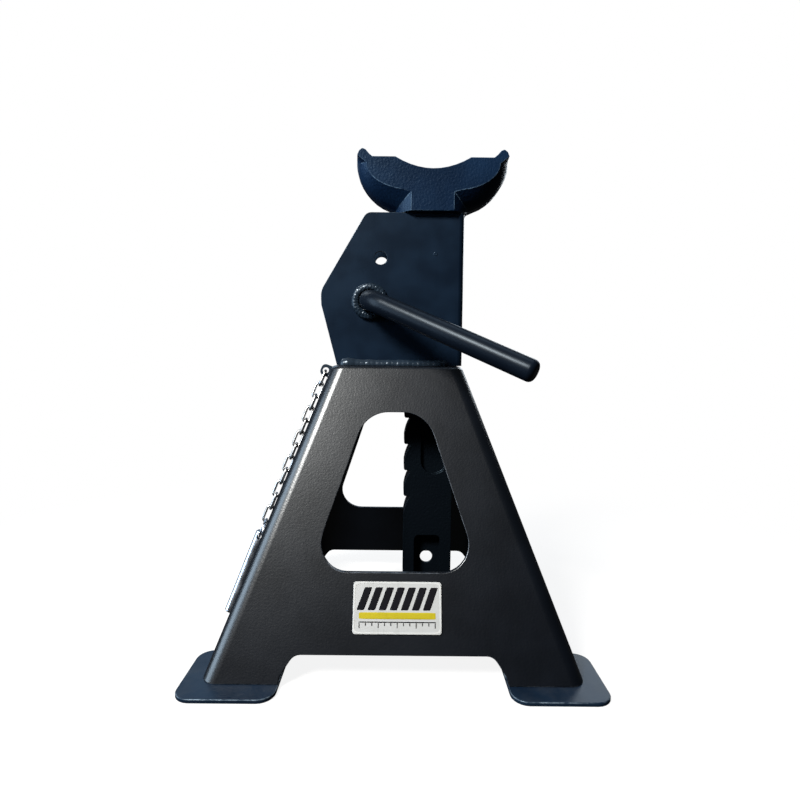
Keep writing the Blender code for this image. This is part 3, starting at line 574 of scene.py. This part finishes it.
def flat_tube(path: np.ndarray, plane_normal: np.ndarray, radius: np.ndarray, sides: int,
              closed: bool = False) -> np.ndarray:
    """Grid of a round bar on a path that stays in one plane.

    At each station the section is centre + radius (cos t side + sin t normal), where side is the
    plane's normal crossed with the path's direction.

    Args:
        path: Array of stations, shape (n, 3).
        plane_normal: The normal of the path's plane.
        radius: One radius for each station.
        sides: Points round the section.
        closed: Whether the path joins itself.

    Returns:
        Array of points, shape (n, sides, 3).
    """
    ahead, behind = np.roll(path, -1, 0), np.roll(path, 1, 0)
    if not closed:
        ahead[-1], behind[0] = path[-1], path[0]
    side = unit(np.cross(plane_normal, unit(ahead - behind)))
    turn = np.linspace(0.0, 2.0 * np.pi, sides, endpoint=False)
    section = (np.cos(turn)[None, :, None] * side[:, None, :]
               + np.sin(turn)[None, :, None] * plane_normal[None, None, :])
    return path[:, None, :] + np.asarray(radius)[:, None, None] * section


def wander(x: np.ndarray, seed: float) -> np.ndarray:
    """Smooth uneven curve between about -1 and 1: a sum of four sines at unrelated rates."""
    rates = np.array([1.0, 2.37, 4.11, 7.93])
    sizes = np.array([0.42, 0.28, 0.18, 0.12])
    return (np.sin(x[..., None] * rates + seed * (1.0 + rates)) * sizes).sum(-1)


def puddles(x: np.ndarray, pitch: float) -> np.ndarray:
    """Height of overlapping weld puddles, 0 to 1: a round-backed step every pitch."""
    phase = np.mod(x / pitch, 1.0)
    return np.sqrt(np.clip(1.0 - phase ** 2.2, 0.0, 1.0))


def middle_of(node: str) -> np.ndarray:
    """Middle of a node's box."""
    low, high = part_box(node)
    return (np.array(low) + np.array(high)) / 2.0


# ------------------------------------------------------------------ sub-assemblies

@dataclass
class Base:
    """The pressed pyramid, its feet and its beads."""

    shop: Workshop
    rim_width: float = 1.25 * MM
    foot_edge: float = 0.8 * MM
    seam_bead: float = 3.1 * MM
    foot_bead: float = 3.4 * MM

    def build(self) -> None:
        """Build the shells, feet and beads."""
        for half in ("front", "rear"):
            node = f"base_{half}_shell"
            shell = self.shop.rounded_copy(node, f"{half}_shell_pressing", self.rim_width)
            self.shop.hang(shell, Body.STAND, PANEL_COAT, (node,))
        for label in ("front_left", "front_right", "rear_left", "rear_right"):
            plate = self.shop.rounded_copy("foot_plate_" + label, "foot_" + label, self.foot_edge)
            self.shop.hang(plate, Body.STAND, FOOT_COAT, ("foot_plate_" + label,))
            self.leg_bead(label)
        for label in ("left_upper", "left_lower", "right_upper", "right_lower"):
            self.seam(label)

    def leg_bead(self, label: str) -> None:
        """Weld bead round the inside of a leg: the node's outline with rounded edges."""
        node = "foot_weld_" + label
        bead = self.shop.rounded_copy(node, "leg_bead_" + label, 1.0 * MM, 3, 20.0)
        self.shop.hang(bead, Body.STAND, WELD_COAT, (node,))

    def seam(self, label: str) -> None:
        """Bead up the joint of two halves.

        A half-round section of width w and height h is carried up the panel; both swell with
        each puddle: w = w0 (0.86 + 0.14 puddle + 0.06 wander).

        Args:
            label: The bead's place, such as left_upper.
        """
        node = "seam_weld_" + label
        low, high = (np.array(v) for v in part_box(node))
        side = -1.0 if label.startswith("left") else 1.0
        level = np.linspace(low[2], high[2], 150)
        share = (level - low[2]) / (high[2] - low[2])
        foot_x = side * max(abs(low[0]), abs(high[0]))
        slope = math.tan(LEAN)
        run = foot_x - side * slope * (level - low[2]) - side * 1.6 * MM
        ends = np.sqrt(np.clip(1.0 - np.abs(2.0 * share - 1.0) ** 24, 0.02, 1.0))
        swell = (0.84 + 0.12 * puddles(level, 2.6 * MM) + 0.08 * wander(share * 31.0, side)) * ends
        turn = np.linspace(0.0, np.pi, 13)
        across = np.cos(turn)[None, :] * (self.seam_bead * swell)[:, None]
        out = np.sin(turn)[None, :] * (1.7 * MM * swell)[:, None]
        sway = 0.12 * MM * wander(level * 900.0, 2.0)[:, None]
        points = np.stack([run[:, None] + side * out, across + sway,
                           np.broadcast_to(level[:, None], across.shape)], -1)
        bead = self.shop.surface("seam_bead_" + label, points, smooth=70.0)
        self.shop.hang(bead, Body.STAND, WELD_COAT, (node,))


@dataclass
class Label:
    """The front plate with a plain garage graphic: slanted bars, a stripe and ticks."""

    shop: Workshop
    node: str = "label_plate"
    half_width: float = 31.0 * MM
    half_height: float = 17.4 * MM
    ink: float = 0.12 * MM
    bar_count: int = 7
    tick_count: int = 13

    def __post_init__(self) -> None:
        """Work out the plate's own directions and the middle of its face."""
        self.right = np.array([1.0, 0.0, 0.0])
        self.up = np.array([0.0, math.sin(LEAN), math.cos(LEAN)])
        self.out = np.array([0.0, -math.cos(LEAN), math.sin(LEAN)])
        self.face = middle_of(self.node) + self.out * 0.4 * MM

    def build(self) -> None:
        """Build the plate, its border and its print."""
        plate = self.shop.rounded_copy(self.node, "maker_plate", 0.25 * MM, 2)
        self.shop.hang(plate, Body.STAND, PLATE_FOIL, (self.node,))
        self.border()
        pitch = 2.0 * (self.half_width - 4.0 * MM) / self.bar_count
        for index in range(self.bar_count):
            middle = (index - (self.bar_count - 1) / 2.0) * pitch
            self.print(f"slanted_bar_{index + 1}", middle, 6.0 * MM, pitch * 0.34, 7.6 * MM, DARK_INK,
                       slant=2.8 * MM)
        self.print("yellow_stripe", 0.0, -5.2 * MM, self.half_width - 4.2 * MM, 2.2 * MM, YELLOW_INK)
        self.print("dark_rule", 0.0, -9.4 * MM, self.half_width - 4.2 * MM, 0.35 * MM, DARK_INK)
        pitch = 2.0 * (self.half_width - 4.6 * MM) / (self.tick_count - 1)
        for index in range(self.tick_count):
            tall = 1.7 * MM if index % 3 == 0 else 1.0 * MM
            middle = (index - (self.tick_count - 1) / 2.0) * pitch
            self.print(f"rule_tick_{index + 1}", middle, -9.9 * MM - tall, 0.3 * MM, tall, DARK_INK)

    def on_face(self, across: np.ndarray, upward: np.ndarray, height: np.ndarray) -> np.ndarray:
        """Points at plate coordinates."""
        return (self.face + across[..., None] * self.right + upward[..., None] * self.up
                + height[..., None] * self.out)

    def print(self, name: str, across: float, upward: float, half_width: float, half_height: float,
              ink: Foil, slant: float = 0.0) -> None:
        """One patch of ink: a superellipse of power 12 in rings from the plate to the middle.

        Args:
            name: The piece's name.
            across: Its middle's distance to the right.
            upward: Its middle's distance up the plate.
            half_width: Half its width.
            half_height: Half its height.
            ink: Its finish.
            slant: How far its top leans to the right.
        """
        turn = np.linspace(0.0, 2.0 * np.pi, 48, endpoint=False)
        round_x = np.sign(np.cos(turn)) * np.abs(np.cos(turn)) ** (2.0 / 12.0)
        round_y = np.sign(np.sin(turn)) * np.abs(np.sin(turn)) ** (2.0 / 12.0)
        rings = np.array([[1.0, 0.0], [1.0, 0.7], [0.97, 1.0], [0.5, 1.0]])
        x = round_x[None, :] * rings[:, :1] * half_width
        y = round_y[None, :] * rings[:, :1] * half_height
        z = np.broadcast_to(rings[:, 1:] * self.ink, x.shape)
        points = self.on_face(across + x + slant * y / half_height, upward + y, z)
        self.shop.hang(self.shop.surface(name, points, smooth=40.0), Body.STAND, ink)

    def border(self) -> None:
        """White line inside the plate's edge: a flat band carried round a rounded rectangle.

        The rectangle is a superellipse of power 16, and the band's section is a low trapezoid.
        """
        turn = np.linspace(0.0, 2.0 * np.pi, 200, endpoint=False)
        x = np.sign(np.cos(turn)) * np.abs(np.cos(turn)) ** (2.0 / 16.0)
        y = np.sign(np.sin(turn)) * np.abs(np.sin(turn)) ** (2.0 / 16.0)
        section = np.array([[0.3, 0.0], [0.4, 1.0], [1.3, 1.0], [1.4, 0.0]]) * [MM, self.ink]
        across = x[:, None] * (self.half_width - section[None, :, 0])
        upward = y[:, None] * (self.half_height - section[None, :, 0])
        points = self.on_face(across, upward, np.broadcast_to(section[None, :, 1], across.shape))
        band = self.shop.surface("plate_border", points, along=True, smooth=40.0)
        self.shop.hang(band, Body.STAND, WHITE_INK)


@dataclass
class Housing:
    """The bent sheet round the post, its welds and what is inside it."""

    shop: Workshop
    edge: float = 0.7 * MM
    bead: float = 5.6 * MM
    spot_place: tuple[float, float] = (30.0 * MM, 307.0 * MM)

    def build(self) -> None:
        """Build the sheet, its beads, a spot weld and the guides."""
        sheet = self.shop.rounded_copy("ratchet_housing", "housing_sheet", self.edge)
        self.shop.hang(sheet, Body.STAND, HOUSING_COAT, ("ratchet_housing",))
        for label, side in (("front", -1.0), ("rear", 1.0)):
            self.foot_bead(label, side)
        self.spot()
        for node, name, finish in (("post_guide_upper", "upper_guide_bar", PAWL_STEEL),
                                   ("post_guide_lower", "lower_guide_bar", PAWL_STEEL),
                                   ("post_wear_strip", "wear_strip", PAWL_STEEL)):
            piece = self.shop.rounded_copy(node, name, 0.4 * MM, 2)
            self.shop.hang(piece, Body.STAND, finish, (node,))

    def foot_bead(self, label: str, side: float) -> None:
        """Fillet weld along a plate's foot.

        A quarter-round section of radius r is carried along X. r = r0 (0.84 + 0.015 puddle +
        0.06 wander), with a blob at the left end, and the section's middle bulges a little.

        Args:
            label: front or rear.
            side: -1 at the front and 1 at the rear.
        """
        node = "housing_weld_" + label
        low, high = (np.array(v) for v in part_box(node))
        x = np.linspace(low[0], high[0], 320)
        share = (x - low[0]) / (high[0] - low[0])
        blob = 0.30 * np.exp(-((share - 0.06) / 0.07) ** 2)
        ends = np.sqrt(np.clip(1.0 - np.abs(2.0 * share - 1.0) ** 26, 0.03, 1.0))
        swell = 0.84 + 0.015 * puddles(x, 4.2 * MM) + 0.06 * wander(share * 17.0, side) + blob
        size = self.bead * swell * ends
        turn = np.linspace(0.0, 0.5 * np.pi, 12)
        ripple = wander(turn[None, :] * 3.0 + x[:, None] * 500.0, 4.0)
        bulge = 1.0 + 0.05 * np.sin(3.0 * turn)[None, :] + 0.02 * ripple
        reach = size[:, None] * bulge * np.cos(turn)[None, :]
        rise = size[:, None] * bulge * np.sin(turn)[None, :]
        wall = high[1] if side < 0 else low[1]
        corner = np.stack([x, np.full_like(x, wall), np.full_like(x, low[2])], -1)[:, None, :]
        bow = np.stack([np.broadcast_to(x[:, None], reach.shape), wall + side * reach, low[2] + rise], -1)
        bead = self.shop.surface("housing_bead_" + label, np.concatenate([corner, bow], 1), smooth=75.0)
        self.shop.hang(bead, Body.STAND, WELD_COAT, (node,))

    def spot(self) -> None:
        """Low spot weld on the front plate: rings of a dome with a dimple, height 0.3 mm."""
        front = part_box("ratchet_housing")[0][1]
        radius = np.array([1.0, 0.96, 0.8, 0.55, 0.25]) * 1.7 * MM
        height = np.array([-0.1, 0.1, 0.26, 0.2, 0.1]) * MM
        turn = np.linspace(0.0, 2.0 * np.pi, 28, endpoint=False)
        uneven = 1.0 + 0.08 * wander(3.0 * np.sin(turn) + 2.0 * np.cos(turn), 1.0)
        points = np.stack([self.spot_place[0] + radius[:, None] * np.cos(turn) * uneven,
                           np.broadcast_to(front - height[:, None], (5, 28)),
                           self.spot_place[1] + radius[:, None] * np.sin(turn) * uneven], -1)
        self.shop.hang(self.shop.surface("spot_weld", points), Body.STAND, HOUSING_COAT)


@dataclass
class Post:
    """The toothed casting with its saddle."""

    shop: Workshop
    edge: float = 1.1 * MM

    def build(self) -> None:
        """Build the casting."""
        casting = self.shop.rounded_copy("ratchet_post", "toothed_casting", self.edge, 3, 30.0)
        self.shop.hang(casting, Body.POST, CAST_COAT, ("ratchet_post",))


@dataclass
class Lever:
    """The bent handle, its welded collar and the pawl."""

    shop: Workshop
    bar_radius: float = 8.0 * MM
    pivot: tuple[float, float] = (-22.4 * MM, 269.0 * MM)
    back_y: float = 25.0 * MM
    bend_y: float = -37.0 * MM
    end: tuple[float, float, float] = (91.7 * MM, -104.7 * MM, 215.9 * MM)
    bend_radius: float = 26.0 * MM
    end_round: float = 4.0 * MM

    def build(self) -> None:
        """Build the bar, the collar and the small parts of the shaft."""
        self.bar()
        self.collar()
        for node, name, width, finish in (("pawl", "pawl_plate", 0.8 * MM, PAWL_STEEL),
                                          ("pawl_roll_pin", "roll_pin", 0.3 * MM, ZINC),
                                          ("shaft_washer", "thrust_washer", 0.4 * MM, ZINC),
                                          ("shaft_cotter", "cotter_pin", 0.3 * MM, ZINC)):
            piece = self.shop.rounded_copy(node, name, width, 2)
            self.shop.hang(piece, Body.LEVER, finish, (node,))

    def bar(self) -> None:
        """Round bar: shaft, bend of the given radius, straight grip, quarter-round ends.

        Near each end the radius is R - e + sqrt(e^2 - (e - s)^2) at distance s from the end face.
        """
        corner = np.array([self.pivot[0], self.bend_y, self.pivot[1]])
        into = np.array([0.0, -1.0, 0.0])
        out = unit(np.array(self.end) - corner)
        angle = math.acos(float(into @ out))
        normal = unit(np.cross(into, out))
        reach = self.bend_radius * math.tan(angle / 2.0)
        start, finish = corner - into * reach, corner + out * reach
        centre = start + np.cross(normal, into) * self.bend_radius
        turn = np.linspace(0.0, angle, 40)[:, None]
        arm = start - centre
        arc = centre + arm * np.cos(turn) + np.cross(normal, arm) * np.sin(turn)
        back = np.array([self.pivot[0], self.back_y, self.pivot[1]])
        ease = self.end_round * (1.0 - np.cos(np.linspace(0.0, np.pi / 2.0, 9)))
        shaft_length = np.linalg.norm(start - back)
        grip_length = np.linalg.norm(np.array(self.end) - finish)
        shaft_run = np.linspace(self.end_round, shaft_length - 1.0 * MM, 24)[1:]
        grip_run = np.linspace(1.0 * MM, grip_length - self.end_round, 50)[:-1]
        shaft = np.concatenate([ease, shaft_run])
        grip = np.concatenate([grip_run, grip_length - ease[::-1]])
        path = np.concatenate([back + into * shaft[:, None], arc, finish + out * grip[:, None]])
        from_back = np.linalg.norm(path - back, axis=1)
        from_end = np.linalg.norm(path - np.array(self.end), axis=1)
        near = np.clip(np.minimum(from_back, from_end), 0.0, self.end_round)
        radius = (self.bar_radius - self.end_round
                  + np.sqrt(self.end_round ** 2 - (self.end_round - near) ** 2))
        bar = self.shop.surface("bent_bar", flat_tube(path, normal, radius, 48), smooth=50.0)
        self.shop.hang(bar, Body.LEVER, BAR_ENAMEL, ("handle",))

    def collar(self) -> None:
        """Grainy weld ring round the shaft.

        The section is half an ellipse on the plate's face; its width and height vary with the
        angle by puddles of 2.4 mm and two wandering curves.
        """
        low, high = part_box("handle_collar")
        wall, front = high[1], low[1]
        inner, outer = self.bar_radius + 0.1 * MM, (high[0] - low[0]) / 2.0
        middle, half = (inner + outer) / 2.0, (outer - inner) / 2.0
        round_about = np.linspace(0.0, 2.0 * np.pi, 180, endpoint=False)[:, None]
        section = np.linspace(0.0, 2.0 * np.pi, 28, endpoint=False)[None, :]
        arc_length = round_about * middle
        coarse = wander(8.0 * np.sin(round_about) + section * 2.0, 1.3)
        fine = wander(17.0 * np.cos(round_about) + section * 5.0, 2.9)
        swell = 0.84 + (0.10 * puddles(arc_length, 2.4 * MM) + 0.10 * coarse + 0.07 * fine)
        lift = np.clip(np.sin(section), 0.0, 1.0) ** 0.8 * swell * (wall - front)
        radius = middle + half * np.cos(section) * np.clip(swell, 0.0, 1.0) - 0.4 * MM * (1.0 - swell)
        points = np.stack([self.pivot[0] + radius * np.cos(round_about),
                           wall - lift,
                           self.pivot[1] + radius * np.sin(round_about)], -1)
        ring = self.shop.surface("weld_collar", points, along=True, smooth=75.0)
        self.shop.hang(ring, Body.LEVER, WELD_COAT, ("handle_collar",))


@dataclass
class PinChain:
    """Tab, links, split ring and lock pin on the left panel."""

    shop: Workshop
    link_count: int = 12
    wire: float = 1.05 * MM
    inner_width: float = 3.4 * MM
    inner_length: float = 10.9 * MM
    ring_radius: float = 7.5 * MM
    ring_wire: float = 0.45 * MM

    def __post_init__(self) -> None:
        """Read the chain's directions from the first and last links."""
        self.off = np.array([-math.cos(LEAN), 0.0, math.sin(LEAN)])
        self.along = unit(middle_of(f"chain_link_{self.link_count:02d}") - middle_of("chain_link_01"))
        self.across = unit(np.cross(self.off, self.along))

    def build(self) -> None:
        """Build every piece of the chain."""
        tab = self.shop.rounded_copy("chain_tab", "drilled_tab", 0.5 * MM, 2)
        self.shop.hang(tab, Body.STAND, WELD_COAT, ("chain_tab",))
        for index in range(self.link_count):
            node = f"chain_link_{index + 1:02d}"
            flat = self.across if index % 2 == 0 else self.off
            self.link(f"wire_link_{index + 1:02d}", node, flat)
        self.split_ring()
        pin = self.shop.rounded_copy("lock_pin", "zinc_lock_pin", 0.5 * MM, 2)
        self.shop.hang(pin, Body.PIN, ZINC, ("lock_pin",))

    def link(self, name: str, node: str, flat: np.ndarray) -> None:
        """One link: a round wire on a stadium of two half circles, slightly thicker at its weld.

        Args:
            name: The piece's name.
            node: The node that it replaces.
            flat: Direction of the link's width.
        """
        bend = self.inner_width / 2.0 + self.wire
        straight = self.inner_length / 2.0 + self.wire - bend
        turn = np.linspace(0.0, np.pi, 13)[:, None]
        head = np.cos(turn) * flat * bend + (np.sin(turn) * bend + straight) * self.along
        path = middle_of(node) + np.concatenate([head, -head])
        radius = np.full(len(path), self.wire)
        points = flat_tube(path, unit(np.cross(self.along, flat)), radius, 14, closed=True)
        self.shop.hang(self.shop.surface(name, points, along=True), Body.CHAIN, LINK_STEEL, (node,))

    def split_ring(self) -> None:
        """Split ring: a wire on a flat helix of two turns, offset by one wire thickness."""
        centre = middle_of("pin_ring")
        turn = np.linspace(0.0, 4.0 * np.pi, 150)[:, None]
        step = (turn / (4.0 * np.pi) - 0.5) * 4.0 * self.ring_wire
        path = (centre + self.ring_radius * (np.cos(turn) * self.along + np.sin(turn) * self.across)
                + 0.5 * step * self.off)
        points = flat_tube(path, self.off, np.full(len(path), self.ring_wire * 1.05), 12)
        self.shop.hang(self.shop.surface("split_ring", points), Body.PIN, ZINC, ("pin_ring",))


@dataclass
class Studio:
    """Pale floor, soft lights and the camera."""

    focal_length: float = 25.2
    sensor: float = 36.0
    camera_place: tuple[float, float, float] = (1.2 * MM, -471.8 * MM, 228.8 * MM)
    pitch: float = math.radians(4.93)
    yaw: float = math.radians(0.20)
    roll: float = math.radians(0.62)
    fill: float = 0.015
    sky_fill: float = 0.11
    floor_fill: float = 0.035

    def build(self) -> None:
        """Build the whole studio."""
        self.camera()
        self.floor()
        self.world()
        self.light("key_softbox", (-0.76, -1.02, 1.20), (-0.10, -0.05, 0.17), (0.40, 0.36), 82.0,
                   (1.0, 0.975, 0.93))
        self.light("overhead_softbox", (0.1, 0.35, 1.9), (0.0, 0.0, 0.2), (1.2, 0.8), 7.0,
                   (0.62, 0.80, 1.0))
        self.light("rear_strip", (-0.4, 1.6, 1.1), (-0.1, 0.0, 0.1), (1.8, 0.6), 6.0, (0.55, 0.76, 1.0))
        self.light("rear_softbox", (0.9, 1.5, 0.85), (0.0, 0.0, 0.2), (0.9, 0.7), 9.0, (0.85, 0.93, 1.0))
        self.light("left_strip", (-1.5, -0.35, 0.5), (0.0, 0.0, 0.2), (0.9, 1.3), 34.0, (0.66, 0.83, 1.0))

    def camera(self) -> None:
        """Camera in front of the stand, a little above its middle."""
        level = math.cos(self.pitch)
        forward = Vector((math.sin(self.yaw) * level, math.cos(self.yaw) * level, -math.sin(self.pitch)))
        right = Vector((math.cos(self.yaw), -math.sin(self.yaw), 0.0))
        up = right.cross(forward)
        turned_right = right * math.cos(self.roll) + up * math.sin(self.roll)
        turned_up = up * math.cos(self.roll) - right * math.sin(self.roll)
        data = bpy.data.cameras.new("camera")
        data.lens = self.focal_length
        data.sensor_width = self.sensor
        data.clip_start = 0.01
        camera = bpy.data.objects.new("camera", data)
        axes = Matrix((turned_right, turned_up, -forward)).transposed().to_4x4()
        camera.matrix_world = Matrix.Translation(self.camera_place) @ axes
        bpy.context.scene.collection.objects.link(camera)
        bpy.context.scene.camera = camera

    def floor(self) -> None:
        """Wide pale floor: matt near the stand, fading to plain white further out.

        To light and reflections it is a dim grey, so that the dark paint stays dark.
        """
        reach, drop = 12.0, 0.2 * MM
        mesh = bpy.data.meshes.new("floor")
        mesh.from_pydata([(-reach, -reach, -drop), (reach, -reach, -drop), (reach, reach, -drop),
                          (-reach, reach, -drop)], [], [(0, 1, 2, 3)])
        floor = bpy.data.objects.new("floor", mesh)
        bpy.context.scene.collection.objects.link(floor)
        material, tools, shader = open_material("floor_paint")
        shader.inputs["Base Color"].default_value = (0.80, 0.80, 0.80, 1.0)
        shader.inputs["Roughness"].default_value = 0.9
        shader.inputs["Specular IOR Level"].default_value = 0.0
        white = tools.add("ShaderNodeEmission")
        away = tools.add("ShaderNodeVectorMath", operation="LENGTH")
        tools.join(tools.add("ShaderNodeTexCoord").outputs["Object"], away.inputs[0])
        share = tools.spread(away.outputs["Value"], 0.15, 0.60, 0.88, 1.0)
        near = tools.add("ShaderNodeMixShader")
        tools.join(share, near.inputs[0])
        tools.join(shader.outputs[0], near.inputs[1])
        tools.join(white.outputs[0], near.inputs[2])
        dim = tools.add("ShaderNodeEmission")
        dim.inputs["Strength"].default_value = self.floor_fill
        split = tools.add("ShaderNodeMixShader")
        tools.join(tools.add("ShaderNodeLightPath").outputs["Is Camera Ray"], split.inputs[0])
        tools.join(dim.outputs[0], split.inputs[1])
        tools.join(near.outputs[0], split.inputs[2])
        output = next(n for n in material.node_tree.nodes if n.type == "OUTPUT_MATERIAL")
        tools.join(split.outputs[0], output.inputs["Surface"])
        mesh.materials.append(material)

    def world(self) -> None:
        """White to look at, and a dim cool fill for light, stronger from above."""
        world = bpy.data.worlds.new("studio")
        bpy.context.scene.world = world
        world.use_nodes = True
        tools = NodeTools(world.node_tree)
        world.node_tree.nodes.clear()
        seen = tools.add("ShaderNodeBackground")
        seen.inputs["Color"].default_value = (1.0, 1.0, 1.0, 1.0)
        fill = tools.add("ShaderNodeBackground")
        fill.inputs["Color"].default_value = (0.72, 0.85, 1.0, 1.0)
        split = tools.add("ShaderNodeSeparateXYZ")
        tools.join(tools.add("ShaderNodeTexCoord").outputs["Generated"], split.inputs[0])
        strength = tools.spread(split.outputs["Z"], -0.1, 1.0, self.fill, self.sky_fill)
        tools.join(strength, fill.inputs["Strength"])
        mix = tools.add("ShaderNodeMixShader")
        tools.join(tools.add("ShaderNodeLightPath").outputs["Is Camera Ray"], mix.inputs[0])
        tools.join(fill.outputs[0], mix.inputs[1])
        tools.join(seen.outputs[0], mix.inputs[2])
        tools.join(mix.outputs[0], tools.add("ShaderNodeOutputWorld").inputs["Surface"])
        bpy.context.scene.view_settings.view_transform = "Standard"

    def light(self, name: str, place: tuple[float, float, float], target: tuple[float, float, float],
              size: tuple[float, float], power: float, colour: tuple[float, float, float]) -> None:
        """Add a soft rectangular light.

        Args:
            name: The light's name.
            place: Where it stands.
            target: What it looks at.
            size: Its width and height.
            power: Its power in watts.
            colour: Its colour.
        """
        data = bpy.data.lights.new(name, "AREA")
        data.shape = "RECTANGLE"
        data.size, data.size_y = size
        data.energy = power
        data.color = colour
        lamp = bpy.data.objects.new(name, data)
        lamp.location = place
        lamp.rotation_euler = (Vector(target) - Vector(place)).to_track_quat("-Z", "Y").to_euler()
        bpy.context.scene.collection.objects.link(lamp)


def main() -> None:
    """Build the studio and every sub-assembly in order."""
    logging.basicConfig(level=logging.INFO, format="%(name)s %(message)s")
    Studio().build()
    shop = Workshop()
    shop.groups.build()
    for part in (Base(shop), Label(shop), Housing(shop), Post(shop), Lever(shop), PinChain(shop)):
        before = shop.count
        part.build()
        LOG.info("%s: %d pieces", type(part).__name__, shop.count - before)


if __name__ == "__main__":
    main()
